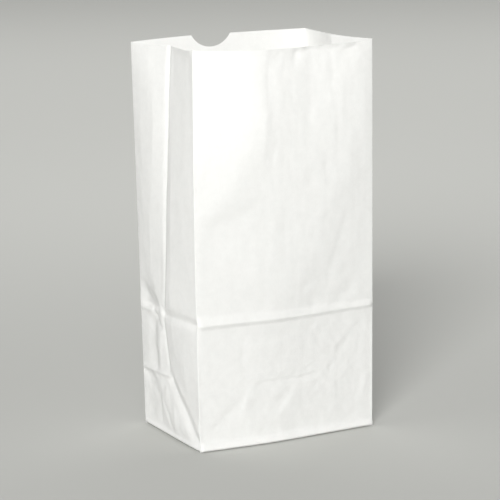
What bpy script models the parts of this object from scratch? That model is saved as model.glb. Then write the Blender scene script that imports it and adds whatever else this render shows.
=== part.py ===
"""White paper lunch bag, standing open.

One sheet of bag paper, folded into a tube with a gusset down each side and
closed below by a flat block bottom. Everything is one solid of paper
thickness: a front and a back panel, two gussets folded in along their
middles, the creases left by the way such a bag is folded flat, a thumb notch
in the rim of the back panel, the two folded end flaps that lie on the floor
inside, and the long flap that laps over the floor underneath.

The front panel faces -Y. All dimensions are in metres, +Z up. The origin is
the middle of the footprint, on the surface that the bag stands on.
"""

import math

import bmesh
import bpy
from mathutils import Vector

# ---------------------------------------------------------------- dimensions
WIDTH = 0.1556  # of the front and back panels, 6 1/8 in
DEPTH = 0.1016  # of the gussets, 4 in
HEIGHT = 0.3143  # 12 3/8 in
PAPER = 0.0001  # thickness of one layer

CREASE_HEIGHT = DEPTH  # the crease all round, where the bottom folds up flat
HALF_HEIGHT = DEPTH / 2  # the crease of the back panel and back gusset halves

NOTCH_RADIUS = 0.0201  # thumb notch, an arc cut into the back panel's rim
NOTCH_X = -0.0111
NOTCH_DEPTH = 0.0101

LAP = 0.0130  # how far the long bottom flap runs past the middle
FLAP_GAP = 0.0002  # from the flaps' outlines to the walls
BITE = 0.00003  # how far one glued layer runs into the next

# How far each upright edge leans at the rim: (x, y)
LEAN = {
    ("left", "back"): (-0.0051, 0.0009),
    ("left", "front"): (-0.0006, 0.0001),
    ("right", "back"): (-0.0030, 0.0006),
    ("right", "front"): (0.0010, 0.0),
}
LEFT_FRONT_BOW = -0.0014  # of the left front edge, half way up
FRONT_BOW = 0.0035  # outward, of the front panel at its middle
BACK_BOW = 0.0015
PANEL_CREASE = 0.0008  # the crease stands out in front and in at the back
PANEL_CREASE_REACH = 0.045

FOLD_IN_LEFT = 0.0075  # of the left gusset's middle at the rim
FOLD_IN_RIGHT = 0.0060
FOLD_OUT = 0.0025  # both gussets' middles bulge out just above the crease
RIDGE_OUT = 0.0030  # the gusset's back half stands out along a soft ridge
RIDGE_SHARE = 0.31  # where the ridge is, from the back edge to the front one

RIM_DIP = 0.0026  # the front panel's rim is cut a little low in its middle
BACK_LEFT_DROP = 0.0018  # and the rim at the left back corner a little low

PANEL_COLUMNS = (-0.36, -0.22, -0.08, 0.08, 0.22, 0.36)  # shares of the width
GUSSET_COLUMNS = (-0.31, -0.12, 0.10, 0.5 - RIDGE_SHARE, 0.36)
UPPER_ROWS = 9  # bands between the crease and the rim


# ------------------------------------------------------------------- helpers
def smooth(value):
    value = min(max(value, 0.0), 1.0)
    return value * value * (3.0 - 2.0 * value)


def lean(side, face, z):
    """Offset of one upright edge at height z."""
    share = z / HEIGHT
    x, y = (amount * share for amount in LEAN[side, face])
    if (side, face) == ("left", "front"):
        x += LEFT_FRONT_BOW * math.sin(math.pi * share)
    return x, y


def gusset_fold(side, share, z):
    """Inward offset of a gusset. share runs from the back edge to the front."""
    top = FOLD_IN_LEFT if side == "left" else FOLD_IN_RIGHT
    above = (z - CREASE_HEIGHT) / (HEIGHT - CREASE_HEIGHT)
    if above >= 0.0:
        middle = -FOLD_OUT + (top + FOLD_OUT) * smooth(0.12 + 0.88 * above)
        ridge = -RIDGE_OUT * (1.0 - 0.75 * above)
    else:
        # under the crease the middle comes back to the half crease, and the
        # triangle below that is nearly flat
        below = z / CREASE_HEIGHT
        middle = -2.0 * FOLD_OUT * smooth((below - 0.5) / 0.5)
        ridge = -RIDGE_OUT * smooth(below)
    ridge = min(ridge, 0.0)
    if share < RIDGE_SHARE:
        return ridge * share / RIDGE_SHARE
    if share < 0.5:
        part = (share - RIDGE_SHARE) / (0.5 - RIDGE_SHARE)
        return ridge + (middle - ridge) * part
    return middle * (1.0 - share) / 0.5


def settled(point):
    """Where a point of the straight-sided tube lies on the standing bag."""
    x, y, z = point
    near = 1e-6
    share_x = x / WIDTH + 0.5
    share_y = y / DEPTH + 0.5
    if z < near and abs(x) < WIDTH / 2 - near and abs(y) < DEPTH / 2 - near:
        return Vector(point)
    ends = {key: lean(*key, z) for key in LEAN}
    height_share = math.sin(math.pi * min(z / HEIGHT, 1.0) ** 0.8)
    if abs(abs(y) - DEPTH / 2) < near:
        face = "front" if y < 0 else "back"
        left, right = ends["left", face], ends["right", face]
        dx = left[0] + (right[0] - left[0]) * share_x
        dy = left[1] + (right[1] - left[1]) * share_x
        arch = math.sin(math.pi * share_x)
        rim = smooth((z - CREASE_HEIGHT) / (HEIGHT - CREASE_HEIGHT))
        tent = max(0.0, 1.0 - abs(z - CREASE_HEIGHT) / PANEL_CREASE_REACH)
        dy -= PANEL_CREASE * tent * min(1.0, 4.0 * arch)
        dz = 0.0
        if face == "front":
            dy -= FRONT_BOW * arch * (0.35 * height_share + 0.65 * rim)
            dz -= RIM_DIP * arch * rim
        else:
            dy += BACK_BOW * arch * (height_share + 0.4 * rim)
            dz -= BACK_LEFT_DROP * rim * (1.0 - share_x) ** 2
        return Vector((x + dx, y + dy, z + dz))
    side = "left" if x < 0 else "right"
    back, front = ends[side, "back"], ends[side, "front"]
    share = 1.0 - share_y
    dx = back[0] + (front[0] - back[0]) * share
    dy = back[1] + (front[1] - back[1]) * share
    inward = gusset_fold(side, share, z)
    dx += inward if side == "left" else -inward
    drop = 0.0
    if side == "left":
        rim = smooth((z - CREASE_HEIGHT) / (HEIGHT - CREASE_HEIGHT))
        drop = BACK_LEFT_DROP * rim * (1.0 - share) ** 2
    return Vector((x + dx, y + dy, z - drop))


def cut(bm, point, normal, wanted=lambda face: True):
    """Adds edges along a plane to the faces that are wanted."""
    faces = [face for face in bm.faces if wanted(face)]
    edges = {edge for face in faces for edge in face.edges}
    verts = {vert for face in faces for vert in face.verts}
    bmesh.ops.bisect_plane(
        bm,
        geom=[*verts, *edges, *faces],
        dist=1e-7,
        plane_co=point,
        plane_no=normal,
    )


def new_object(name, bm, collection):
    mesh = bpy.data.meshes.new(name)
    bm.to_mesh(mesh)
    bm.free()
    obj = bpy.data.objects.new(name, mesh)
    collection.objects.link(obj)
    return obj


def hide_helper(obj):
    obj.hide_render = True
    obj.display_type = "WIRE"


# --------------------------------------------------------------------- shapes
def folded_tube():
    """The tube and its floor as one open sheet, creased and settled."""
    bm = bmesh.new()
    bmesh.ops.create_cube(bm, size=1.0)
    bmesh.ops.scale(bm, vec=(WIDTH, DEPTH, HEIGHT), verts=bm.verts)
    bmesh.ops.translate(bm, vec=(0, 0, HEIGHT / 2), verts=bm.verts)
    lid = [face for face in bm.faces if face.normal.z > 0.9]
    bmesh.ops.delete(bm, geom=lid, context="FACES_ONLY")

    def wall(face):
        return abs(face.normal.z) < 0.5

    def gusset(face):
        return abs(face.normal.x) > 0.5

    step = (HEIGHT - CREASE_HEIGHT) / UPPER_ROWS
    heights = [0.25 * CREASE_HEIGHT, HALF_HEIGHT, 0.75 * CREASE_HEIGHT]
    heights += [CREASE_HEIGHT + step * row for row in range(UPPER_ROWS)]
    for z in heights:
        cut(bm, (0, 0, z), (0, 0, 1), wall)
    for share in PANEL_COLUMNS:
        cut(
            bm,
            (share * WIDTH, 0, 0),
            (1, 0, 0),
            lambda face: wall(face) and not gusset(face),
        )
    # the gusset's middle fold runs from the rim to the half crease, and two
    # diagonals run on from there to the bottom corners
    cut(
        bm,
        (0, 0, 0),
        (0, 1, 0),
        lambda face: gusset(face) and face.calc_center_median().z > HALF_HEIGHT,
    )
    for way in (-1, 1):
        cut(
            bm,
            (0, 0, HALF_HEIGHT),
            (0, way, 1),
            lambda face: gusset(face)
            and face.calc_center_median().z < HALF_HEIGHT,
        )
    for share in GUSSET_COLUMNS:
        cut(
            bm,
            (0, share * DEPTH, 0),
            (0, 1, 0),
            lambda face: gusset(face) and face.calc_center_median().z > HALF_HEIGHT,
        )
    bmesh.ops.triangulate(bm, faces=bm.faces)
    for vert in bm.verts:
        vert.co = settled(vert.co)
    bmesh.ops.recalc_face_normals(bm, faces=bm.faces)
    low = Vector([min(vert.co[axis] for vert in bm.verts) for axis in range(3)])
    high = Vector([max(vert.co[axis] for vert in bm.verts) for axis in range(3)])
    middle = (low + high) / 2
    shift = Vector((-middle.x, -middle.y, PAPER))
    bmesh.ops.translate(bm, vec=shift, verts=bm.verts)
    return bm, shift


def sheet(outline_cuts, size, z_low, z_high, centre):
    """A flat layer of paper: a block of the given size, trimmed by planes."""
    bm = bmesh.new()
    bmesh.ops.create_cube(bm, size=1.0)
    bmesh.ops.scale(bm, vec=(size[0], size[1], z_high - z_low), verts=bm.verts)
    bmesh.ops.translate(
        bm, vec=(centre[0], centre[1], (z_low + z_high) / 2), verts=bm.verts
    )
    for point, normal in outline_cuts:
        result = bmesh.ops.bisect_plane(
            bm,
            geom=[*bm.verts, *bm.edges, *bm.faces],
            dist=1e-7,
            plane_co=point,
            plane_no=normal,
            clear_outer=True,
        )
        rim = [item for item in result["geom_cut"] if isinstance(item, bmesh.types.BMEdge)]
        bmesh.ops.contextual_create(bm, geom=rim)
    bmesh.ops.recalc_face_normals(bm, faces=bm.faces)
    return bm


def paper_material():
    material = bpy.data.materials.new("white_paper")
    material.use_nodes = True
    shader = material.node_tree.nodes["Principled BSDF"]
    shader.inputs["Base Color"].default_value = (0.86, 0.85, 0.81, 1.0)
    shader.inputs["Roughness"].default_value = 0.85
    shader.inputs["Metallic"].default_value = 0.0
    return material


def boolean(target, other, operation):
    modifier = target.modifiers.new(other.name, "BOOLEAN")
    modifier.operation = operation
    modifier.solver = "EXACT"
    modifier.object = other


def build():
    for obj in list(bpy.data.objects):
        bpy.data.objects.remove(obj, do_unlink=True)
    bag_parts = bpy.data.collections.new("paper_lunch_bag")
    cutters = bpy.data.collections.new("helpers")
    bpy.context.scene.collection.children.link(bag_parts)
    bpy.context.scene.collection.children.link(cutters)

    tube, shift = folded_tube()
    bag = new_object("paper_bag", tube, bag_parts)
    bag.data.materials.append(paper_material())
    thickness = bag.modifiers.new("thickness", "SOLIDIFY")
    thickness.thickness = PAPER
    thickness.offset = -1.0
    thickness.use_even_offset = True

    # thumb notch: a round punch through the back panel's rim
    bm = bmesh.new()
    bmesh.ops.create_cone(
        bm,
        cap_ends=True,
        segments=96,
        radius1=NOTCH_RADIUS,
        radius2=NOTCH_RADIUS,
        depth=0.030,
    )
    punch = new_object("notch_punch", bm, cutters)
    punch.rotation_euler = (math.radians(90), 0, 0)
    punch.location = (
        NOTCH_X + shift.x,
        DEPTH / 2 + shift.y,
        HEIGHT - NOTCH_DEPTH + NOTCH_RADIUS,
    )
    hide_helper(punch)
    boolean(bag, punch, "DIFFERENCE")

    # the long bottom flap, glued under the floor: it starts at the front edge,
    # its ends run in at 45 degrees, and its free edge laps past the middle
    reach = DEPTH / 2 + LAP
    half = WIDTH / 2 - FLAP_GAP
    front = -DEPTH / 2 + FLAP_GAP
    corners = [
        ((way * half, front, 0), (way, 1, 0)) for way in (-1, 1)
    ]
    flap = new_object(
        "long_flap",
        sheet(
            corners,
            (2 * half, reach - FLAP_GAP),
            0.0,
            PAPER + BITE,
            (0, front + (reach - FLAP_GAP) / 2),
        ),
        cutters,
    )
    flap.location = (shift.x, shift.y, 0)
    hide_helper(flap)
    boolean(bag, flap, "UNION")

    # the folded end flaps, which lie on the floor inside with their points in
    for name, way in (("left_end_flap", -1), ("right_end_flap", 1)):
        edge = way * (WIDTH / 2 - PAPER - FLAP_GAP)
        span = DEPTH - 2 * PAPER - 2 * FLAP_GAP
        point = edge - way * span / 2
        sides = [((point, 0, 0), (-way, side, 0)) for side in (-1, 1)]
        end = new_object(
            name,
            sheet(
                sides,
                (span / 2, span),
                2 * PAPER - BITE,
                3 * PAPER,
                (edge - way * span / 4, 0),
            ),
            cutters,
        )
        end.location = (shift.x, shift.y, 0)
        hide_helper(end)
        boolean(bag, end, "UNION")


build()
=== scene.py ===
"""White paper lunch bag: the fine surface, its paper, the floor, the light and the camera.

The bag is one sheet. Each wall is a panel with its own height field, in
millimetres: the large folds, the creases, and the soft wrinkles pressed into
the paper. A panel's u runs along the wall seen from outside, from its left
edge to its right one, and z runs up.
"""

import math

import bmesh
import bpy
import numpy as np
from mathutils import Matrix, Vector


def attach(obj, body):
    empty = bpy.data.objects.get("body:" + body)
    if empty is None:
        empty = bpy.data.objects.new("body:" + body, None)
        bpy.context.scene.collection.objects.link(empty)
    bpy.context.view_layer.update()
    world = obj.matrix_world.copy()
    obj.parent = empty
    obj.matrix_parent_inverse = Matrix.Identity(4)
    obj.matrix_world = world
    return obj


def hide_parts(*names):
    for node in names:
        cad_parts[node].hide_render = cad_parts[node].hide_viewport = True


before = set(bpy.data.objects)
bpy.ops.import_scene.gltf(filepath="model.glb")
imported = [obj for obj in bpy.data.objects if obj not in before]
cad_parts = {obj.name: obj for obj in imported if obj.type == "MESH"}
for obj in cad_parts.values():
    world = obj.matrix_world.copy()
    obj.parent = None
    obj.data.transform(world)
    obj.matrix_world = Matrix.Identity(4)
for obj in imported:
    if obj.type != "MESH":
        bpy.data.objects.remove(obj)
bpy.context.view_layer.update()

# ------------------------------------------------------------------ dimensions
MM = 0.001
WIDTH, DEPTH, HEIGHT = 155.6, 101.6, 314.3
PAPER = 0.10
CREASE = 101.6  # the crease all round
HALF = 50.5  # the half crease of the left gusset's back half
SHIFT = np.array([0.92, 0.198, 0.10])  # from the straight tube to the row frame

NOTCH_RADIUS, NOTCH_X, NOTCH_DEPTH = 20.1, -11.1, 10.1


# --------------------------------------------------------------------- helpers
def smooth(t):
    t = np.clip(t, 0.0, 1.0)
    return t * t * (3.0 - 2.0 * t)


def curve(z, points):
    """A smooth line through (z, value) points."""
    zs = np.array([p[0] for p in points], float)
    vs = np.array([p[1] for p in points], float)
    slopes = np.gradient(vs, zs)
    z = np.clip(z, zs[0], zs[-1])
    i = np.clip(np.searchsorted(zs, z) - 1, 0, len(zs) - 2)
    span = zs[i + 1] - zs[i]
    t = (z - zs[i]) / span
    return (
        (2 * t**3 - 3 * t**2 + 1) * vs[i]
        + (t**3 - 2 * t**2 + t) * span * slopes[i]
        + (-2 * t**3 + 3 * t**2) * vs[i + 1]
        + (t**3 - t**2) * span * slopes[i + 1]
    )


def along(u, z, p, q):
    """Distance across and share along the line from p to q."""
    px, pz = p
    dx, dz = q[0] - px, q[1] - pz
    length = math.hypot(dx, dz)
    dx, dz = dx / length, dz / length
    t = ((u - px) * dx + (z - pz) * dz) / length
    d = (u - px) * -dz + (z - pz) * dx
    return d, t, length


def stroke(u, z, p, q, height, width, fade=0.25):
    """A soft ridge, or with a negative height a soft dent, from p to q.

    A pair of widths is for its left side and its right one, going from p to q.
    """
    d, t, _ = along(u, z, p, q)
    if isinstance(width, tuple):
        width = np.where(d > 0, width[0], width[1])
    ends = smooth((t + fade) / (2 * fade)) * smooth((1.0 + fade - t) / (2 * fade))
    return height * np.exp(-0.5 * (d / width) ** 2) * ends


def fold(u, z, p, q, height, left, right, fade=0.08, radius=0.35, power=2.0):
    """A sharp ridge or valley from p to q that dies out left and right of it.

    left and right are how far its slopes reach on the line's two sides.
    """
    d, t, _ = along(u, z, p, q)
    ends = smooth((t + fade) / (2 * fade)) * smooth((1.0 + fade - t) / (2 * fade))
    reach = np.where(d > 0, left, right)
    x = np.sqrt(d * d + radius * radius) - radius
    s = np.clip(1.0 - x / reach, 0.0, 1.0)
    return height * s**power * ends


def dent(u, z, centre, height, ru, rz):
    return height * np.exp(
        -0.5 * (((u - centre[0]) / ru) ** 2 + ((z - centre[1]) / rz) ** 2)
    )


def lattice(seed, i, j):
    """A repeatable number from -1 to 1 for each whole pair."""
    n = (i * 374761393 + j * 668265263 + seed * 362437) & 0x7FFFFFFF
    n = ((n ^ (n >> 13)) * 1274126177) & 0x7FFFFFFF
    return ((n ^ (n >> 16)) & 0xFFFF) / 32767.5 - 1.0


def noise(u, z, size_u, size_z, seed):
    """Smooth value noise with cells of the given size."""
    a, b = np.asarray(u / size_u + 100.0), np.asarray(z / size_z + 100.0)
    i, j = np.floor(a).astype(np.int64), np.floor(b).astype(np.int64)
    fa, fb = a - i, b - j
    fa, fb = fa**3 * (fa * (6 * fa - 15) + 10), fb**3 * (fb * (6 * fb - 15) + 10)
    low = lattice(seed, i, j) * (1 - fa) + lattice(seed, i + 1, j) * fa
    high = lattice(seed, i, j + 1) * (1 - fa) + lattice(seed, i + 1, j + 1) * fa
    return low * (1 - fb) + high * fb


def crumple(u, z, size, seed):
    """Soft random ridges and hollows, as in paper that was once pressed flat."""
    bend_u = 0.35 * size * noise(u, z, 2.2 * size, 2.2 * size, seed + 50)
    bend_z = 0.35 * size * noise(u, z, 2.2 * size, 2.2 * size, seed + 51)
    a = noise(u + bend_u, z + bend_z, size, 1.25 * size, seed)
    b = noise(0.8 * u + 0.6 * z + bend_u, 0.8 * z - 0.6 * u, 1.2 * size, size, seed + 1)
    return np.sqrt(a * a + 0.012) - np.sqrt(b * b + 0.012)


def profile(u, knots):
    """A line through (u, height) knots whose numbers may vary with z."""
    total = np.zeros_like(u)
    for (a, ha), (b, hb) in zip(knots, knots[1:]):
        a, b, ha, hb = (np.broadcast_to(v, u.shape) for v in (a, b, ha, hb))
        t = (u - a) / np.maximum(b - a, 1e-6)
        inside = (u >= a) & (u <= b)
        total = np.where(inside, ha + (hb - ha) * t, total)
    return total


def rounded(function, u, z, radius):
    """The function with its kinks rounded over about this radius."""
    spots = (-1.0, -0.5, 0.0, 0.5, 1.0)
    weights = (0.12, 0.23, 0.30, 0.23, 0.12)
    total = 0.0
    for spot, weight in zip(spots, weights):
        total = total + weight * function(u + spot * radius, z)
    return total


def foot(z, out, reach):
    """The wall spreads over this reach above the floor, and turns under."""
    z = np.asarray(z, float)
    turn = 2.6
    spread = np.clip(1.0 - (z - turn) / reach, 0, 1) ** 1.25
    under = 4.2 * (1.0 - np.sqrt(np.clip(1.0 - (1.0 - np.clip(z / turn, 0, 1)) ** 2, 0, 1)))
    return out * spread - under


# ------------------------------------------------------------ the upright edges
def edges(z):
    """(x, y) offsets of the four upright edges at height z, in mm."""
    t = z / HEIGHT
    arc = np.sin(np.pi * np.clip(t, 0, 1))
    # near the crease an edge stands out a little, because it was bent there
    nick = np.exp(-0.5 * ((z - CREASE) / 5.0) ** 2)
    flare = np.clip(1.0 - (z - 2.0) / 5.0, 0, 1) ** 1.35
    front_left = (-0.6 * t - 1.4 * arc + 0.35 * nick - 0.5 * flare, 0.1 * t - 0.25 * nick - 1.0 * flare)
    front_right = (1.0 * np.sin(np.pi / 2 * t) + 0.2 * nick + 0.3 * flare, 0.0 * t - 0.7 * flare)
    back_right = (-3.0 * t, 0.6 * t)
    back_left = (-5.1 * t - 0.3 * nick, 0.9 * t)
    return front_left, front_right, back_right, back_left


# ----------------------------------------------------------------- front panel
FRONT_BEND_LEFT = [(0, -8.0), (160, -8.0), (172, 0.0), (186, 10.0), (203, 26.0), (219, 36.0), (305, 43.0), (315, 44.0)]
FRONT_BEND_RIGHT = [(0, 60.0), (95, 62.0), (126, 80.0), (141, 93.0), (158, 104.0), (193, 117.0), (215, 137.0), (240, 143.0), (315, 144.0)]
# wrinkles pressed into the paper: from, to, height (below zero a dent), width
FRONT_WRINKLES = [
    # the lower panel, from left to right
    ((10.8, 15.9), (23.0, 28.2), -0.55, (2.0, 5.0)),
    ((23.0, 28.2), (36.3, 39.2), -0.50, (2.0, 5.0)),
    ((34.6, 24.0), (40.0, 37.7), 0.30, (1.3, 6.0)),
    ((40.0, 37.7), (43.0, 47.5), 0.26, (1.3, 5.0)),
    ((43.0, 47.5), (51.5, 57.5), 0.20, (1.3, 3.0)),
    ((36.9, 70.4), (38.0, 86.3), -0.28, (1.3, 3.0)),
    ((40.2, 55.5), (36.9, 70.4), -0.28, (1.3, 3.0)),
    ((50.6, 8.6), (54.5, 13.0), -0.30, (1.1, 3.0)),
    ((42.0, 33.6), (73.0, 33.2), -0.52, (2.2, 5.0)),
    ((59.9, 24.8), (76.3, 42.2), -0.22, (1.8, 3.0)),
    ((65.6, 21.5), (78.4, 33.8), 0.30, (1.2, 2.6)),
    ((78.4, 33.8), (83.8, 43.0), 0.24, (1.4, 3.0)),
    ((89.4, 12.0), (90.2, 96.0), -0.17, (1.0, 3.5)),
    ((92.5, 55.0), (97.0, 58.8), -0.30, (1.0, 2.0)),
    ((96.5, 59.0), (101.8, 54.4), -0.30, (1.0, 2.0)),
    ((101.0, 7.0), (107.2, 12.4), -0.40, (1.1, 3.0)),
    ((113.6, 52.8), (118.4, 59.1), -0.25, (1.3, 2.4)),
    ((110.8, 54.5), (115.2, 60.5), 0.20, (1.2, 1.8)),
    ((122.2, 66.0), (131.6, 76.6), -0.36, (1.9, 3.6)),
    ((131.6, 76.6), (146.0, 91.0), -0.28, (1.9, 4.0)),
    ((116.6, 69.8), (126.0, 78.7), 0.30, (1.5, 2.0)),
    ((122.8, 26.0), (122.1, 61.0), -0.20, (1.3, 3.5)),
    # a line pressed through from the fold of the bottom, when it lay flat
    ((48.6, 50.2), (73.6, 51.0), -0.26, (0.8, 2.4)),
    ((73.6, 51.0), (90.0, 49.8), -0.44, (0.8, 2.4)),
    ((90.0, 49.8), (104.4, 52.8), -0.40, (0.9, 2.4)),
    # the upper panel
    ((58.6, 270.0), (59.0, 303.0), -0.60, (2.4, 4.0)),
    ((62.6, 248.0), (62.8, 268.0), -0.42, (2.2, 4.0)),
    ((58.0, 233.0), (66.0, 231.0), -0.50, (2.2, 3.5)),
    ((62.0, 228.0), (76.0, 227.5), -0.28, (2.2, 3.5)),
    ((11.5, 178.5), (37.5, 184.0), -0.50, (3.2, 6.0)),
    ((37.5, 184.0), (52.8, 195.0), -0.44, (2.8, 5.0)),
    ((118.3, 276.0), (117.6, 291.0), -0.22, (1.6, 3.5)),
    ((122.8, 256.7), (118.3, 276.0), -0.22, (1.6, 3.5)),
    ((123.4, 227.0), (122.8, 256.7), -0.26, (1.8, 3.5)),
    ((126.8, 262.0), (127.2, 290.0), 0.14, (1.8, 3.0)),
    ((125.0, 224.8), (126.8, 262.0), 0.18, (1.8, 3.0)),
    ((112.2, 202.0), (111.5, 224.0), -0.24, (1.4, 3.0)),
    ((126.5, 164.8), (130.2, 176.5), -0.28, (1.8, 4.0)),
    ((121.8, 153.0), (126.5, 164.8), -0.32, (1.8, 4.0)),
    ((114.4, 134.0), (121.8, 153.0), -0.32, (1.8, 4.0)),
    ((105.0, 127.0), (114.0, 134.5), -0.36, (2.2, 4.0)),
    ((89.0, 125.0), (106.0, 127.5), -0.34, (2.4, 4.0)),
    ((86.2, 112.0), (86.6, 144.0), 0.16, (1.0, 2.5)),
    ((121.0, 111.0), (136.0, 117.0), -0.40, (2.7, 5.0)),
    # and its rim, where hands took hold of it
    ((38.6, 311.0), (77.4, 307.3), -0.30, (0.8, 1.6)),
    ((65.2, 306.8), (69.8, 311.9), -0.34, (1.1, 2.0)),
    ((81.0, 304.2), (85.0, 311.7), -0.50, (1.2, 2.4)),
    ((123.0, 307.6), (138.5, 311.6), -0.50, (0.9, 2.0)),
]


def pane(u, z, line, turn, soft):
    """The wall turns away from the light to the right of the line.

    Both edges of the wall stay where they are.
    """
    at = curve(z, line) + 3.0 * noise(0.0 * u, z, 9.0, 11.0, 91)

    def bend(v):
        return -turn * soft * np.logaddexp(0.0, (v - at) / soft)

    s = u / WIDTH
    return bend(u) - (1.0 - s) * bend(0.0 * u) - s * bend(0.0 * u + WIDTH)


def front_height(u, z):
    s = u / WIDTH
    arch = np.sin(np.pi * np.clip(s, 0, 1))
    above = smooth((z - CREASE) / (HEIGHT - CREASE))
    h = arch * (1.0 + 1.4 * above) * smooth(z / 25.0)
    # the crease: a lip that swells towards the fold line and steps in under it
    inset = smooth(np.minimum(u, WIDTH - u) / 3.0)
    lip = z - (CREASE - 0.8 + 0.25 * np.sin(s * 9.0))
    swell = np.clip(1.0 - lip / (8.2 - 3.8 * s), 0, 1) ** 1.08
    step = np.clip(1.0 + lip / (3.3 - 0.8 * s), 0, 1) ** 1.1
    keeps = (0.52 - 0.24 * s) * np.exp(np.minimum(lip, 0.0) / 22.0)
    lip_height = np.where(lip > 0, swell, keeps + (1.0 - keeps) * step)
    h = h + (2.50 - 0.85 * s) * lip_height * (0.30 + 0.70 * inset)
    # the panel under the crease is set back a little from the one above
    h = h - 0.30 * smooth((CREASE - z) / 6.0) * inset * smooth(z / 20.0)
    # the foot of the wall flares out to the fold of the bottom
    h = h + foot(z, 2.6 - 1.2 * s, 6.0 - 2.2 * s)
    # broad soft panes: the wall bends a little along two slanting lines
    h = h + pane(u, z, FRONT_BEND_LEFT, 0.16, 2.6) + pane(u, z, FRONT_BEND_RIGHT, 0.11, 5.0)
    # over the crease the left part is a slack hump
    h = h + dent(u, z, (50.0, 142.0), 2.4, 27.0, 24.0) * inset
    # towards the rim it stands out a little more along the left one
    tent = profile(u, [(-2.0, 0.0), (0.0, 0.0), (57.0, 3.0), (98.0, -0.7), (WIDTH, 0.0), (WIDTH + 2, 0.0)])
    h = h + tent * smooth((z - 205.0) / 60.0)
    for p, q, height, width in FRONT_WRINKLES:
        h = h + stroke(u, z, p, q, height, width, 0.2)
    h = h - dent(u, z, (84.0, 308), 0.25, 2.6, 5.0)
    # the rim curls out a little on the right
    curl = (0.35 * smooth((u - 48.0) / 8.0) + 0.65 * smooth((u - 78.0) / 12.0)) * smooth((142.0 - u) / 6.0)
    h = h + 1.15 * curl * (1.0 + 0.4 * noise(u, 0.0 * z, 5.0, 9.0, 93)) * np.clip((z - 310.6) / 3.6, 0, 1) ** 1.6
    # the paper is never quite flat
    inner = smooth(np.minimum(u, WIDTH - u) / 9.0) * smooth(z / 9.0)
    low = smooth((CREASE + 8 - z) / 16.0)
    h = h + inner * (0.12 + 0.08 * low) * noise(u, z, 17.0, 23.0, 3)
    h = h + inner * (0.030 + 0.050 * low) * noise(u, z, 6.5, 9.0, 5)
    h = h + inner * (0.012 + 0.022 * low) * noise(u, z, 3.0, 4.2, 7)
    busy = 0.25 + 0.75 * smooth((u - 20.0) / 40.0)
    high = (1.0 - low) * smooth((u - 38.0) / 25.0)
    h = h + inner * (0.10 + 0.30 * low * busy + 0.27 * high) * crumple(u, z, 15.0, 11)
    h = h + inner * (0.03 + 0.14 * low * busy + 0.120 * high) * crumple(u, z, 7.0, 13)
    return h


# ----------------------------------------------------------------- left gusset
# heights of the lines that the gusset's shape runs through, from the back
# edge to the front one: (z, height)
LEFT_QUARTER = [
    (0, 0.0), (12, -0.5), (30, -0.2), (55, 0.1), (75, 0.4), (92, 0.0), (104, 0.2),
    (112, 0.4), (125, 1.1), (150, 1.5), (170, 1.6), (220, 1.4), (262, 0.6),
    (290, -0.3), (315, -1.2),
]
LEFT_RIDGE = [
    (0, 0.0), (12, -0.4), (30, 0.3), (48, 0.7), (55, 0.0), (75, 0.3), (92, -0.5),
    (100, 1.6), (104, 2.6), (112, 3.0), (125, 2.9), (138, 2.2), (150, 2.0),
    (170, 2.2), (200, 1.8), (220, 1.3), (245, 0.6), (262, 0.0), (285, -1.0),
    (295, -1.6), (315, -2.8),
]
LEFT_RIDGE_U = [
    (0, 26.0), (60, 27.0), (95, 28.0), (104, 37.0), (112, 37.5), (125, 31.5),
    (140, 27.0), (170, 28.5), (200, 30.0), (262, 34.0), (270, 33.0), (285, 31.0),
    (300, 28.5), (315, 27.0),
]
LEFT_KNEE = [
    (0, 0.0), (12, 0.6), (30, 1.5), (48, 1.4), (55, 1.8), (75, 2.8), (92, 2.6),
    (104, 2.8), (112, 3.0), (125, 2.5), (150, 1.3), (170, 0.9), (200, -0.1),
    (220, -1.0), (245, -2.0), (270, -3.0), (290, -4.1), (315, -5.8),
]
LEFT_KNEE_U = [(0, 42.0), (50, 37.5), (60, 38.0), (80, 40.5), (95, 43.0), (112, 44.0), (130, 45.5), (200, 46.0), (262, 47.5), (315, 48.5)]
LEFT_FOLD = [
    (0, 0.0), (12, 1.6), (30, 1.8), (50, 0.3), (62, 0.5), (80, 1.3), (95, 2.1),
    (104, 2.3), (112, 2.7), (121, 2.7), (153, 0.6), (193, -1.0), (232, -3.1),
    (271, -4.7), (300, -6.1), (315, -7.0),
]
LEFT_FOLD_U = [
    (0, 50.8), (45, 52.6), (60, 51.6), (80, 49.0), (97, 47.2), (108, 49.6),
    (118, 50.8), (160, 50.9), (200, 51.3), (232, 51.8), (271, 52.2), (315, 52.3),
]
LEFT_FRONT = [
    (0, 0.0), (12, 2.6), (30, 1.4), (48, 1.1), (62, 1.5), (75, 2.5), (92, 3.0),
    (104, 3.0), (112, 3.6), (125, 3.1), (150, 2.2), (170, 1.7), (200, 0.7),
    (220, -0.7), (270, -3.7), (300, -5.3), (315, -6.1),
]
LEFT_FLANK = [
    (0, 0.0), (12, 1.9), (30, 0.0), (46, 1.3), (55, 2.1), (75, 2.0), (92, 2.2),
    (104, 1.8), (112, 2.0), (125, 1.6), (150, 1.4), (170, 1.1), (200, 0.6),
    (220, -0.1), (270, -1.8), (315, -3.0),
]


def left_large(u, z):
    """The left gusset's large folds."""
    zero = 0.0 * z
    return profile(
        u,
        [
            (zero - 1.5, zero),
            (zero, zero),
            (zero + 14.0, curve(z, LEFT_QUARTER)),
            (curve(z, LEFT_RIDGE_U), curve(z, LEFT_RIDGE)),
            (curve(z, LEFT_KNEE_U), curve(z, LEFT_KNEE)),
            (curve(z, LEFT_FOLD_U), curve(z, LEFT_FOLD)),
            (zero + 62.0, curve(z, LEFT_FRONT)),
            (zero + 82.0, curve(z, LEFT_FLANK)),
            (zero + 101.6, zero),
            (zero + 103.1, zero),
        ],
    )


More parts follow.
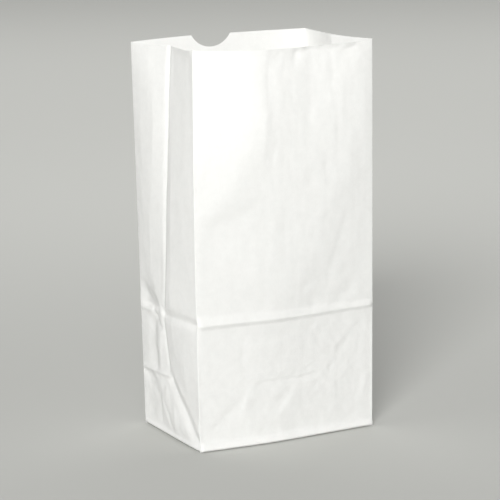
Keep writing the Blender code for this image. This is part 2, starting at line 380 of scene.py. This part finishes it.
def left_height(u, z):
    h = rounded(left_large, u, z, 1.5)
    ins = smooth(np.minimum(u, DEPTH - u) / 2.5)

    # the middle fold itself is crisp
    middle = u - curve(z, LEFT_FOLD_U)
    reach = np.where(middle < 0, 4.6 - 1.6 * smooth((z - 200.0) / 70.0), 4.2)
    crisp = np.clip(1.0 - np.sqrt(middle**2 + 0.12) / reach, 0, 1) ** np.where(middle < 0, 2.4, 1.5)
    h = h - (0.85 + 0.25 * smooth((z - 262.0) / 40.0)) * crisp * smooth((z - HALF) / 12.0)

    # the crease all round: a step in under the front half, a lip on the back half
    front_half = smooth((u - 49.0) / 4.0)
    back_half = 1.0 - front_half
    line = CREASE - 0.9 + 0.6 * smooth(u / 101.6) + 0.4 * np.sin(u * 0.10)
    lip = z - line
    off = np.sqrt(lip * lip + 0.5) - 0.70
    above = np.clip(1.0 - off / 5.2, 0, 1) ** 1.25
    under = np.clip(1.0 - off / 5.4, 0, 1) ** 1.4
    valley = np.where(lip > 0, above, under)
    h = h - (1.05 + 0.50 * smooth((u - 55.0) / 45.0)) * front_half * valley * (0.35 + 0.65 * ins)
    h = h + 0.20 * front_half * np.exp(-0.5 * ((lip - 6.0) / 2.4) ** 2) * ins
    crest = lip + 2.2 - 0.8 * smooth(u / 36.0)
    ridge = np.where(
        crest > 0, np.clip(1.0 - crest / 4.6, 0, 1) ** 1.2,
        np.clip(1.0 + crest / 3.6, 0, 1) ** 1.5,
    )
    h = h + 1.1 * back_half * smooth((40.0 - u) / 16.0) * ridge * (0.4 + 0.6 * ins)

    # the crumple where the middle fold meets the crease
    h = h - stroke(u, z, (22.5, 99.8), (33.0, 94.2), 1.8, 2.2, 0.15)
    h = h - stroke(u, z, (33.0, 94.2), (43.0, 88.0), 1.2, 1.9, 0.15)
    h = h + stroke(u, z, (37.0, 106.0), (47.0, 97.5), 0.45, 1.3, 0.2)
    h = h - stroke(u, z, (44.0, 108.0), (50.0, 100.0), 0.60, 1.3, 0.2)
    h = h - stroke(u, z, (27.0, 113.0), (37.0, 103.5), 0.45, 2.2, 0.3)

    # over the lip the wall steps in along a line that slants to the crumple
    d, t, _ = along(u, z, (-3.0, 115.5), (37.0, 101.0))
    slant = np.clip(1.0 - (np.sqrt(np.maximum(d, 0.0) ** 2 + 1.4) - 1.18) / 10.0, 0, 1) ** 1.1
    over = smooth((z - 97.0) / 6.5) * smooth((u + 2.0) / 16.0) * smooth((42.0 - u) / 8.0)
    h = h - 2.6 * slant * over

    # under it the back of the middle fold sinks in a soft band
    below = smooth((CREASE - 4.0 - z) / 6.0) * smooth((z - HALF) / 6.0)
    h = h + below * fold(u, z, (26.4, 46.0), (25.8, 98.0), -0.6, 20.0, 7.0, 0.05, 1.2, 1.1)
    h = h + 0.30 * below * np.exp(-0.5 * ((u - 37.5) / 3.0) ** 2)

    # the half crease, on the back half only, and the hollow under it
    h = h + fold(u, z, (-2.0, 48.2), (53.0, 51.0), 1.0, 5.0, 3.1, 0.05)
    h = h - stroke(u, z, (3.0, 44.5), (26.0, 43.0), 0.95, 2.6, 0.2)

    # two diagonals run from the end of the middle fold to the bottom corners
    apex = (53.2, 50.8)
    h = h - fold(u, z, apex, (102.5, 3.5), 1.85, 8.5, 8.0, 0.03, 0.3, 1.6)
    h = h - fold(u, z, apex, (0.0, 1.0), 0.45, 5.0, 6.0, 0.05, 0.8)
    d, t, _ = along(u, z, apex, (102.5, 3.5))
    inside = smooth((t + 0.02) / 0.2) * smooth((1.02 - t) / 0.2)
    h = h + 0.45 * inside * np.exp(-0.5 * ((d - 8.0) / 4.0) ** 2)

    # the lower triangle is one slack pane with a few wrinkles
    h = h - stroke(u, z, (3.0, 45.0), (30.0, 31.0), 0.70, 3.4, 0.2)
    h = h + stroke(u, z, (20.0, 48.0), (36.0, 41.0), 0.35, 2.6, 0.2)
    h = h - stroke(u, z, (33.5, 33.0), (33.0, 10.0), 0.45, 2.2, 0.2)
    h = h + fold(u, z, (58.5, 7.0), (41.5, 27.0), -0.60, 8.0, 2.2, 0.1, 0.4, 1.4)
    h = h + stroke(u, z, (36.5, 28.0), (50.0, 9.0), 0.35, 1.9, 0.2)
    h = h + stroke(u, z, (23.0, 30.0), (25.5, 9.0), 0.35, 3.0, 0.2)
    h = h - stroke(u, z, (8.0, 30.0), (13.0, 12.0), 0.20, 2.5, 0.2)
    h = h - stroke(u, z, (47.0, 42.0), (56.0, 27.0), 0.25, 1.4, 0.2)
    h = h - stroke(u, z, (60.0, 30.0), (72.0, 12.0), 0.22, 1.8, 0.2)

    # soft oblique folds of the upper back half
    h = h - stroke(u, z, (-0.5, 235.0), (26.0, 187.5), 0.24, 3.0, 0.15)
    h = h - stroke(u, z, (4.0, 186.0), (26.0, 146.0), 0.26, 3.2, 0.15)
    h = h - stroke(u, z, (10.0, 138.0), (24.0, 116.0), 0.30, 3.6, 0.2)
    h = h - stroke(u, z, (42.0, 148.0), (45.0, 122.0), 0.20, 2.2, 0.2)
    # and of the front half
    h = h - stroke(u, z, (61.0, 315.0), (59.0, 255.0), 0.16, 1.6)
    h = h + stroke(u, z, (66.0, 312.0), (84.0, 270.0), 0.14, 3.2)
    h = h - stroke(u, z, (93.0, 314.0), (96.0, 255.0), 0.22, 3.2)
    h = h - stroke(u, z, (56.0, 100.0), (66.0, 52.0), 0.20, 2.6)
    h = h + stroke(u, z, (84.0, 255.0), (90.0, 195.0), 0.16, 4.0)

    # the glued lap seam: the layer above ends in a step along the back half
    step = smooth((u - 27.4) / 0.5)
    h = h + 0.16 * (1.0 - step) * smooth((z - 104.0) / 4.0) * smooth(u / 2.0)

    # the rim of the front half curls out a little
    curl = smooth((u - 54.0) / 5.0) * smooth((101.0 - u) / 6.0)
    h = h + 1.2 * curl * np.clip((z - 307.5) / 7.0, 0, 1) ** 1.5
    # the foot
    h = h + foot(z, 1.2, 3.0)
    inner = smooth(np.minimum(u, DEPTH - u) / 8.0) * smooth(z / 8.0)
    low = smooth((CREASE + 8 - z) / 16.0)
    h = h + inner * (0.10 + 0.10 * low) * noise(u, z, 13.0, 19.0, 23)
    h = h + inner * (0.035 + 0.060 * low) * noise(u, z, 5.5, 8.0, 25)
    h = h + inner * (0.08 + 0.16 * low) * crumple(u, z, 12.0, 31)
    h = h + inner * (0.010 + 0.018 * low) * noise(u, z, 2.8, 4.0, 27)
    return h


# ---------------------------------------------------------------- right gusset
RIGHT_FOLD = [
    (0, 0.0), (20, 0.5), (50, 0.6), (62, 1.8), (80, 3.8), (94, 5.0), (100, 4.0),
    (104, 2.4), (112, 2.6), (125, 2.4), (153, 0.8), (193, -1.0), (232, -3.0),
    (271, -4.6), (300, -5.8), (315, -6.4),
]


def right_large(u, z):
    middle = curve(z, RIGHT_FOLD)
    out = 1.4 * smooth((z - 60.0) / 50.0) * (1.0 - 0.6 * smooth((z - 230) / 80.0))
    return profile(
        u,
        [
            (0.0 * z - 1.5, 0.0 * z),
            (0.0 * z, 0.0 * z),
            (36.0 + 0.0 * z, middle * 0.66 + 0.2 * out),
            (50.8 + 0.0 * z, middle),
            (60.0 + 0.0 * z, middle * 0.80 + 0.3 * out),
            (76.0 + 0.0 * z, middle * 0.46 + out),
            (101.6 + 0.0 * z, 0.0 * z),
            (103.1 + 0.0 * z, 0.0 * z),
        ],
    )


def right_height(u, z):
    """u runs from the front edge to the back edge."""
    h = rounded(right_large, u, z, 0.9)
    ins = smooth(np.minimum(u, DEPTH - u) / 2.5)
    back_half = smooth((u - 49.0) / 4.0)
    front_half = 1.0 - back_half
    lip = z - (CREASE + 0.4 * np.sin(u * 0.09))
    valley = np.clip(1.0 - np.sqrt(lip**2 + 0.2) / 4.6, 0, 1) ** 1.6
    h = h - 1.5 * front_half * valley * (0.4 + 0.6 * ins)
    ridge = np.clip(1.0 - np.sqrt(lip**2 + 0.2) / 3.4, 0, 1) ** 1.4
    h = h + 1.1 * back_half * ridge * (0.4 + 0.6 * ins)
    h = h - stroke(u, z, (70.0, 99.0), (58.0, 94.0), 0.70, 2.2, 0.15)
    h = h + stroke(u, z, (63.0, 107.0), (53.5, 98.0), 0.55, 1.7, 0.2)
    below = smooth((CREASE - 2.0 - z) / 6.0) * smooth((z - HALF) / 8.0)
    d = u - curve(z, [(45, 49.0), (60, 49.5), (80, 52.0), (100, 53.5)])
    h = h - 1.0 * below * np.exp(-0.5 * (d / 1.4) ** 2)
    h = h + 0.7 * below * np.exp(-0.5 * ((d - 5.5) / 2.8) ** 2)
    h = h - 0.5 * below * np.exp(-0.5 * ((d - 15.0) / 4.5) ** 2)
    h = h + fold(u, z, (49.0, 50.8), (103.5, 49.2), 0.85, 3.0, 4.0, 0.05)
    h = h - stroke(u, z, (98.0, 43.5), (76.0, 44.0), 0.70, 2.8, 0.2)
    apex = (48.6, 50.8)
    h = h - fold(u, z, apex, (-0.8, 3.5), 1.55, 12.0, 9.0, 0.03, 0.4)
    h = h - fold(u, z, apex, (101.6, 1.0), 0.55, 6.0, 6.0, 0.05, 0.8)
    h = h - stroke(u, z, (90.0, 40.0), (70.0, 31.0), 0.45, 2.4, 0.2)
    h = h - stroke(u, z, (62.0, 29.0), (46.0, 8.0), 0.50, 1.6, 0.15)
    h = h + stroke(u, z, (78.0, 30.0), (74.0, 9.0), 0.35, 3.0, 0.2)
    h = h - stroke(u, z, (97.0, 200.0), (62.0, 125.0), 0.35, 3.8, 0.12)
    h = h + stroke(u, z, (18.0, 300.0), (30.0, 230.0), 0.16, 4.0)
    h = h + foot(z, 0.9, 3.6)
    inner = smooth(np.minimum(u, DEPTH - u) / 8.0) * smooth(z / 8.0)
    low = smooth((CREASE + 8 - z) / 16.0)
    h = h + inner * (0.12 + 0.12 * low) * noise(u, z, 14.0, 20.0, 43)
    h = h + inner * (0.040 + 0.060 * low) * noise(u, z, 6.0, 8.5, 45)
    return h


# ------------------------------------------------------------------ back panel
def back_height(u, z):
    """u runs from the right edge, seen from in front, to the left one."""
    s = u / WIDTH
    arch = np.sin(np.pi * np.clip(s, 0, 1))
    above = smooth((z - CREASE) / (HEIGHT - CREASE))
    h = arch * (0.8 + 1.2 * above) * smooth(z / 25.0)
    inset = smooth(np.minimum(u, WIDTH - u) / 3.0)
    for at, size in ((CREASE, 1.25), (HALF, 1.05)):
        lip = z - (at + 0.25 * np.sin(s * 8.0 + at))
        valley = np.clip(1.0 - np.sqrt(lip**2 + 0.15) / 4.2, 0, 1) ** 1.6
        h = h - size * valley * (0.35 + 0.65 * inset)
    h = h + foot(z, 0.9, 4.5)
    h = h + stroke(u, z, (36.0, 300), (33.0, 190), 0.30, 5.0)
    h = h - stroke(u, z, (96.0, 305), (92.0, 215), 0.22, 4.0)
    h = h - stroke(u, z, (24.0, 76.0), (36.0, 64.0), 0.30, 1.8)
    h = h - stroke(u, z, (118.0, 88.0), (128.0, 70.0), 0.30, 2.0)
    h = h + stroke(u, z, (70.0, 30.0), (84.0, 14.0), 0.26, 1.8)
    h = h - stroke(u, z, (130.0, 12.0), (146.0, 32.0), 0.26, 1.6)
    h = h - stroke(u, z, (20.0, 34.0), (9.0, 12.0), 0.26, 1.6)
    inner = smooth(np.minimum(u, WIDTH - u) / 9.0) * smooth(z / 9.0)
    low = smooth((CREASE + 8 - z) / 16.0)
    h = h + inner * (0.14 + 0.10 * low) * noise(u, z, 18.0, 24.0, 63)
    h = h + inner * (0.040 + 0.050 * low) * noise(u, z, 7.0, 10.0, 65)
    return h


# ----------------------------------------------------------------- the rim line
def rim_offset(panel, u):
    """How far the cut rim lies off its nominal height."""
    if panel == "front":
        s = u / WIDTH
        return curve(
            s * 100.0,
            [(0, 0.1), (12, -0.9), (27, -1.7), (42, -2.1), (58, -1.8), (75, -1.6), (90, -1.3), (97, -0.6), (100, 0.0)],
        )
    if panel == "left":
        return curve(
            u,
            [(0, -1.9), (8, -2.1), (20, -2.2), (36, -2.1), (45, -1.6), (50.8, -0.6), (56, -0.7), (75, -0.9), (92, -0.7), (101.6, 0.1)],
        )
    if panel == "right":
        return curve(u, [(0, 0.0), (15, -0.5), (40, -0.6), (50.8, -0.2), (70, -0.4), (101.6, 0.0)])
    return curve(u, [(0, 0.1), (60, 0.1), (100, 0.0), (130, -0.8), (155.6, -1.9)])


PANELS = {
    "front": (WIDTH, front_height),
    "right": (DEPTH, right_height),
    "back": (WIDTH, back_height),
    "left": (DEPTH, left_height),
}
ORDER = ("front", "right", "back", "left")


def panel_point(panel, u, z, u_rim=None):
    """Points of a panel, in the straight tube's frame, in mm."""
    length, height_of = PANELS[panel]
    front_left, front_right, back_right, back_left = edges(z)
    x0, y0 = WIDTH / 2, DEPTH / 2
    corner = {
        "front": ((-x0, -y0), (x0, -y0), front_left, front_right, (0, -1)),
        "right": ((x0, -y0), (x0, y0), front_right, back_right, (1, 0)),
        "back": ((x0, y0), (-x0, y0), back_right, back_left, (0, 1)),
        "left": ((-x0, y0), (-x0, -y0), back_left, front_left, (-1, 0)),
    }[panel]
    a, b, da, db, out = corner
    s = u / length
    h = height_of(u, z)
    # the paper is folded round each edge, so a wrinkle ends there
    h = h * smooth(np.minimum(u, length - u) / 1.6)
    x = a[0] + (b[0] - a[0]) * s + da[0] + (db[0] - da[0]) * s + out[0] * h
    y = a[1] + (b[1] - a[1]) * s + da[1] + (db[1] - da[1]) * s + out[1] * h
    top = smooth((z - 150.0) / (HEIGHT - 150.0)) ** 2
    lift = rim_offset(panel, np.clip(u, 0, length) if u_rim is None else u_rim) * top
    return np.stack([x, y, z + lift], -1)


def spaced(length, fine, coarse, near, marks=()):
    """Columns or rows: fine steps near the marks, coarse ones elsewhere."""
    spots = [0.0]
    while spots[-1] < length - 1e-6:
        here = spots[-1]
        gap = min([abs(here - mark) for mark in marks] + [1e9])
        t = min(max(gap / near, 0.0), 1.0)
        spots.append(here + fine + (coarse - fine) * t)
    spots = np.array(spots)
    return spots * (length / spots[-1])


def build_sheet():
    """The walls' points as a grid of columns by rows, in mm, with the row heights and the columns."""
    ends = (0.0, 0.22, 0.45, 1.1)
    columns = []  # (panel, u)
    for panel in ORDER:
        length = PANELS[panel][0]
        marks, fine, coarse, near = {
            "front": ([], 1.45, 1.45, 10.0),
            "left": ([50.8], 0.9, 1.5, 14.0),
            "right": ([50.8], 1.4, 3.2, 16.0),
            "back": ([], 3.8, 3.8, 10.0),
        }[panel]
        inner = spaced(length - 4.4, fine, coarse, near, [m - 2.2 for m in marks]) + 2.2
        us = list(ends) + list(inner) + [length - e for e in reversed(ends[1:])]
        columns += [(panel, u) for u in us]
    rows = [0.0, 0.06, 0.24, 0.55, 0.95, 1.4, 1.9, 2.5, 3.3, 4.2, 5.2]
    rows += list(6.3 + spaced(CREASE + 4.0 - 6.3, 0.72, 1.6, 14.0, [CREASE - 7.1, HALF - 6.3]))
    rows += list(CREASE + 4.0 + spaced(HEIGHT - CREASE - 10.0, 1.1, 4.0, 38.0, [0.0])[1:])
    rows += [HEIGHT - gap for gap in (4.5, 3.2, 2.2, 1.4, 0.7, 0.0)]
    z = np.array(rows)
    sides = []
    for panel, u in columns:
        length = PANELS[panel][0]
        points = panel_point(panel, np.full_like(z, u), z)
        # round the upright fold: near a corner a point moves to a small arc
        radius = 0.45
        near_start, near_end = u < radius, u > length - radius
        if near_start or near_end:
            index = ORDER.index(panel)
            if near_start:
                before, after = ORDER[index - 1], panel
                t = (u + radius) / (2 * radius)
            else:
                before, after = panel, ORDER[(index + 1) % 4]
                t = (u - (length - radius)) / (2 * radius)
            span = PANELS[before][0]
            p0 = panel_point(before, np.full_like(z, span - radius), z)
            p1 = panel_point(before, np.full_like(z, span), z)
            p2 = panel_point(after, np.full_like(z, radius), z)
            points = (1 - t) ** 2 * p0 + 2 * t * (1 - t) * p1 + t**2 * p2
        sides.append(points)
    grid = np.array(sides)  # column, row, xyz
    return grid, z, columns


def floor_height(x, y):
    """The inside of the floor, above its outer layer, in mm."""
    across = np.clip(np.abs(x) / (WIDTH / 2), 0, 1)
    along_y = np.clip(np.abs(y) / (DEPTH / 2), 0, 1)
    dome = (1.0 - across**2) * (1.0 - along_y**2)
    lap = 0.22 * smooth((LAP - y) / 1.2 + 0.5) * smooth((WIDTH / 2 - 51 - np.abs(x)) / 2.0 + 0.5)
    waves = 0.16 * noise(x + 200.0, y + 200.0, 21.0, 17.0, 81)
    inside = smooth((1.0 - np.maximum(across, along_y)) / 0.12)
    return 0.9 * dome + (lap + waves + 0.16) * inside


LAP = 13.0  # the long flap reaches this far past the middle
TOOTH_PITCH, TOOTH_DEPTH = 2.3, 0.50


def add_plate(bm, outline, lift, steps):
    """A thin glued flap on the floor: a four-cornered patch of paper.

    outline is its four corners (x, y); lift is its height over the floor.
    """
    layers = []
    for level in (lift, lift + PAPER):
        made = []
        for i in range(steps[0] + 1):
            a = i / steps[0]
            for j in range(steps[1] + 1):
                b = j / steps[1]
                low = [outline[0][k] * (1 - a) + outline[1][k] * a for k in (0, 1)]
                high = [outline[3][k] * (1 - a) + outline[2][k] * a for k in (0, 1)]
                x, y = (low[k] * (1 - b) + high[k] * b for k in (0, 1))
                height = float(floor_height(np.array(x), np.array(y)))
                place = (np.array([x, y, height + level]) + SHIFT) * MM
                made.append(bm.verts.new(place))
        layers.append(made)
    wide = steps[1] + 1
    under, over = layers
    for i in range(steps[0]):
        for j in range(steps[1]):
            n = (i * wide + j, (i + 1) * wide + j, (i + 1) * wide + j + 1, i * wide + j + 1)
            bm.faces.new([over[k] for k in n])
            bm.faces.new([under[k] for k in reversed(n)])
    ring = [i * wide for i in range(steps[0])]
    ring += [steps[0] * wide + j for j in range(steps[1])]
    ring += [i * wide + steps[1] for i in range(steps[0], 0, -1)]
    ring += [j for j in range(steps[1], 0, -1)]
    for k, n in enumerate(ring):
        m = ring[(k + 1) % len(ring)]
        bm.faces.new([under[n], under[m], over[m], over[n]])


def add_walls_and_floor(bm):
    grid, z, columns = build_sheet()
    count, rows = grid.shape[:2]
    points = (grid + SHIFT) * MM
    made = [[bm.verts.new(points[i, k]) for k in range(rows)] for i in range(count)]
    for i in range(count):
        j = (i + 1) % count
        for k in range(rows - 2):
            bm.faces.new([made[i][k], made[j][k], made[j][k + 1], made[i][k + 1]])
    # the top strip ends in the fine teeth that the cutting knife leaves
    run = 0.0
    for i in range(count):
        j = (i + 1) % count
        here, there = grid[i, -1], grid[j, -1]
        length = float(np.linalg.norm((there - here)[:2]))
        pieces = max(1, int(round(length / (TOOTH_PITCH / 4))))
        between = []
        for n in range(1, pieces):
            share = n / pieces
            phase = (run + length * share) / TOOTH_PITCH % 1.0
            point = here * (1 - share) + there * share
            point[2] += TOOTH_DEPTH * (abs(phase - 0.5) * 2.0 - 0.5)
            between.append(bm.verts.new((point + SHIFT) * MM))
        phase = run / TOOTH_PITCH % 1.0
        made[i][-1].co.z += TOOTH_DEPTH * (abs(phase - 0.5) * 2.0 - 0.5) * MM
        run += length
        bm.faces.new(
            [made[i][-2], made[j][-2], made[j][-1]] + between[::-1] + [made[i][-1]]
        )
    # the floor: rings that shrink towards the middle
    last = [made[i][0] for i in range(count)]
    foot_ring = grid[:, 0, :2]
    middle = foot_ring.mean(0)
    for share in (0.985, 0.96, 0.92, 0.86, 0.79, 0.71, 0.63, 0.54, 0.45, 0.35, 0.25, 0.15, 0.06):
        ring = []
        for i in range(count):
            x, y = middle + (foot_ring[i] - middle) * share
            height = float(floor_height(np.array(x), np.array(y)))
            ring.append(bm.verts.new((np.array([x, y, height]) + SHIFT) * MM))
        for i in range(count):
            j = (i + 1) % count
            bm.faces.new([last[j], last[i], ring[i], ring[j]])
        last = ring
    bm.faces.new(list(reversed(last)))


def punch_thumb_notch(bag):
    bm = bmesh.new()
    bmesh.ops.create_cone(
        bm, cap_ends=True, segments=160, radius1=NOTCH_RADIUS * MM,
        radius2=NOTCH_RADIUS * MM, depth=0.030,
    )
    shape = bpy.data.meshes.new("notch_punch")
    bm.to_mesh(shape)
    bm.free()
    punch = bpy.data.objects.new("notch_punch", shape)
    bpy.context.scene.collection.objects.link(punch)
    punch.rotation_euler = (math.radians(90), 0, 0)
    punch.location = (
        (NOTCH_X + SHIFT[0]) * MM,
        (DEPTH / 2 + SHIFT[1]) * MM,
        (HEIGHT + SHIFT[2] - NOTCH_DEPTH + NOTCH_RADIUS) * MM,
    )
    cut = bag.modifiers.new("notch", "BOOLEAN")
    cut.operation = "DIFFERENCE"
    cut.solver = "EXACT"
    cut.object = punch
    bpy.context.view_layer.update()
    graph = bpy.context.evaluated_depsgraph_get()
    final = bpy.data.meshes.new_from_object(bag.evaluated_get(graph))
    bag.modifiers.clear()
    bag.data = final
    bpy.data.objects.remove(punch, do_unlink=True)


def make_bag():
    mesh = bpy.data.meshes.new("paper_bag_skin")
    bm = bmesh.new()
    add_walls_and_floor(bm)
    bmesh.ops.recalc_face_normals(bm, faces=bm.faces)
    bm.to_mesh(mesh)
    bm.free()
    bag = bpy.data.objects.new("paper_bag_sheet", mesh)
    bpy.context.scene.collection.objects.link(bag)
    thickness = bag.modifiers.new("thickness", "SOLIDIFY")
    thickness.thickness = PAPER * MM
    thickness.offset = -1.0
    thickness.use_even_offset = False
    punch_thumb_notch(bag)

    # the glued flaps of the bottom join the same mesh
    bm = bmesh.new()
    bm.from_mesh(bag.data)
    x, y = WIDTH / 2 - 2.6, DEPTH / 2 - 2.6
    apex = WIDTH / 2 - 50.0
    for side in (-1, 1):
        add_plate(
            bm, [(side * x, -y), (side * x, y), (side * apex, 0.6), (side * apex, -0.6)],
            2.4 * PAPER, (22, 16),
        )
    add_plate(
        bm, [(-x, -y), (x, -y), (apex, LAP), (-apex, LAP)], -1.1 * PAPER, (30, 18),
    )
    bmesh.ops.recalc_face_normals(bm, faces=bm.faces)
    for face in bm.faces:
        face.smooth = True
    bm.to_mesh(bag.data)
    bm.free()
    bag.data.set_sharp_from_angle(angle=math.radians(55))
    return bag


# ------------------------------------------------------------------- materials
def paper_material():
    material = bpy.data.materials.new("white_bag_paper")
    material.use_nodes = True
    nodes, links = material.node_tree.nodes, material.node_tree.links
    shader = nodes["Principled BSDF"]
    shader.inputs["Roughness"].default_value = 0.78
    shader.inputs["Specular IOR Level"].default_value = 0.28
    shader.inputs["Subsurface Weight"].default_value = 0.55
    shader.inputs["Subsurface Radius"].default_value = (1.0, 1.0, 1.0)
    shader.inputs["Subsurface Scale"].default_value = 0.0006
    place = nodes.new("ShaderNodeTexCoord")

    def noise_node(scale, detail, rough, stretch=(1, 1, 1), distortion=0.0):
        mapping = nodes.new("ShaderNodeMapping")
        mapping.inputs["Scale"].default_value = stretch
        links.new(place.outputs["Object"], mapping.inputs["Vector"])
        tex = nodes.new("ShaderNodeTexNoise")
        tex.inputs["Scale"].default_value = scale
        tex.inputs["Detail"].default_value = detail
        tex.inputs["Roughness"].default_value = rough
        tex.inputs["Distortion"].default_value = distortion
        links.new(mapping.outputs["Vector"], tex.inputs["Vector"])
        return tex.outputs["Fac"]

    def ramp(value, low, high, dark, light):
        node = nodes.new("ShaderNodeMapRange")
        node.inputs["From Min"].default_value = low
        node.inputs["From Max"].default_value = high
        node.inputs["To Min"].default_value = dark
        node.inputs["To Max"].default_value = light
        links.new(value, node.inputs["Value"])
        return node.outputs["Result"]

    def multiply(a, b):
        node = nodes.new("ShaderNodeMath")
        node.operation = "MULTIPLY"
        links.new(a, node.inputs[0])
        links.new(b, node.inputs[1])
        return node.outputs["Value"]

    # cloudy formation of the sheet, and the fibres, which lie mostly upright
    clouds = noise_node(150.0, 4.0, 0.62)
    fibres = noise_node(900.0, 3.0, 0.6, (1.0, 1.0, 0.35), 0.4)
    streaks = noise_node(260.0, 2.0, 0.5, (1.0, 1.0, 0.04))
    tone = multiply(
        multiply(
            ramp(clouds, 0.25, 0.75, 0.975, 1.020),
            ramp(fibres, 0.25, 0.75, 0.985, 1.012),
        ),
        ramp(streaks, 0.2, 0.8, 0.992, 1.006),
    )
    colour = nodes.new("ShaderNodeVectorMath")
    colour.operation = "SCALE"
    colour.inputs[0].default_value = (0.895, 0.895, 0.876)
    links.new(tone, colour.inputs["Scale"])
    links.new(colour.outputs["Vector"], shader.inputs["Base Color"])

    heights = nodes.new("ShaderNodeMath")
    heights.operation = "ADD"
    links.new(ramp(fibres, 0.2, 0.8, 0.0, 0.6), heights.inputs[0])
    links.new(ramp(clouds, 0.2, 0.8, 0.0, 0.4), heights.inputs[1])
    bump = nodes.new("ShaderNodeBump")
    bump.inputs["Strength"].default_value = 0.35
    bump.inputs["Distance"].default_value = 0.00006
    links.new(heights.outputs["Value"], bump.inputs["Height"])
    links.new(bump.outputs["Normal"], shader.inputs["Normal"])
    return material


def plain_material(name, colour, roughness):
    material = bpy.data.materials.new(name)
    material.use_nodes = True
    shader = material.node_tree.nodes["Principled BSDF"]
    shader.inputs["Base Color"].default_value = (*colour, 1.0)
    shader.inputs["Roughness"].default_value = roughness
    shader.inputs["Specular IOR Level"].default_value = 0.1
    return material


# ------------------------------------------------------------ floor, light, camera
def make_floor():
    bm = bmesh.new()
    bmesh.ops.create_grid(bm, x_segments=1, y_segments=1, size=15.0)
    mesh = bpy.data.meshes.new("floor")
    bm.to_mesh(mesh)
    bm.free()
    floor = bpy.data.objects.new("floor", mesh)
    bpy.context.scene.collection.objects.link(floor)
    mesh.materials.append(plain_material("pale_floor", (0.512, 0.515, 0.497), 0.9))


def aim(obj, target):
    way = Vector(target) - obj.location
    obj.rotation_euler = way.to_track_quat("-Z", "Y").to_euler()


def make_lights():
    world = bpy.data.worlds.new("soft_room")
    world.use_nodes = True
    back = world.node_tree.nodes["Background"]
    back.inputs["Color"].default_value = (1.0, 1.0, 0.985, 1.0)
    back.inputs["Strength"].default_value = 0.30
    bpy.context.scene.world = world

    sun = bpy.data.lights.new("key_sky", "SUN")
    sun.energy = 2.86
    sun.angle = math.radians(24)
    sun.color = (1.0, 1.0, 0.985)
    key = bpy.data.objects.new("key_sky", sun)
    a, e = math.radians(38), math.radians(25)
    key.location = (-2 * math.sin(a) * math.cos(e), -2 * math.cos(a) * math.cos(e), 2 * math.sin(e))
    aim(key, (0, 0, 0.1))
    bpy.context.scene.collection.objects.link(key)

    near = bpy.data.lights.new("near_softbox", "AREA")
    near.shape = "DISK"
    near.size = 0.42
    near.energy = 1.28
    near.color = (1.0, 1.0, 0.985)
    box = bpy.data.objects.new("near_softbox", near)
    box.location = (-0.38, -0.61, 0.53)
    aim(box, (-0.02, -0.03, 0.2))
    box.visible_camera = False
    bpy.context.scene.collection.objects.link(box)

    far = bpy.data.lights.new("far_softbox", "AREA")
    far.shape = "RECTANGLE"
    far.size, far.size_y = 4.5, 1.8
    far.energy = 27.0
    far.color = (1.0, 1.0, 0.985)
    hung = bpy.data.objects.new("far_softbox", far)
    hung.location = (1.15, 2.2, 1.9)
    hung.rotation_euler = (0.0, 0.0, math.radians(-27.4))
    hung.visible_camera = False
    bpy.context.scene.collection.objects.link(hung)

    # a soft pool of light on the floor behind the bag
    pool = bpy.data.lights.new("floor_pool", "AREA")
    pool.shape = "RECTANGLE"
    pool.size, pool.size_y = 0.9, 0.6
    pool.energy = 3.6
    pool.color = (1.0, 1.0, 0.985)
    lamp = bpy.data.objects.new("floor_pool", pool)
    lamp.location = (0.42, 0.80, 1.1)
    lamp.rotation_euler = (0.0, 0.0, math.radians(-27.4))
    lamp.visible_camera = False
    bpy.context.scene.collection.objects.link(lamp)


def make_camera():
    yaw, pitch, roll = (math.radians(v) for v in (27.40, 11.34, -0.77))
    forward = Vector((math.sin(yaw) * math.cos(pitch), math.cos(yaw) * math.cos(pitch), -math.sin(pitch)))
    right = Vector((math.cos(yaw), -math.sin(yaw), 0.0))
    up = right.cross(forward)
    turned_right = math.cos(roll) * right + math.sin(roll) * up
    turned_up = -math.sin(roll) * right + math.cos(roll) * up
    data = bpy.data.cameras.new("camera")
    data.sensor_width = 36.0
    data.lens = 2230.0 / 500.0 * 36.0
    data.clip_start, data.clip_end = 0.05, 60.0
    camera = bpy.data.objects.new("camera", data)
    place = np.array([-5.223, -10.007, 3.193]) * WIDTH + SHIFT
    basis = Matrix((turned_right, turned_up, -forward)).transposed()
    camera.matrix_world = Matrix.Translation(Vector(place * MM)) @ basis.to_4x4()
    bpy.context.scene.collection.objects.link(camera)
    bpy.context.scene.camera = camera


bag = make_bag()
bag.data.materials.clear()
bag.data.materials.append(paper_material())
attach(bag, "root")
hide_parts("paper_bag")
make_floor()
make_lights()
make_camera()
bpy.context.scene.view_settings.view_transform = "Standard"
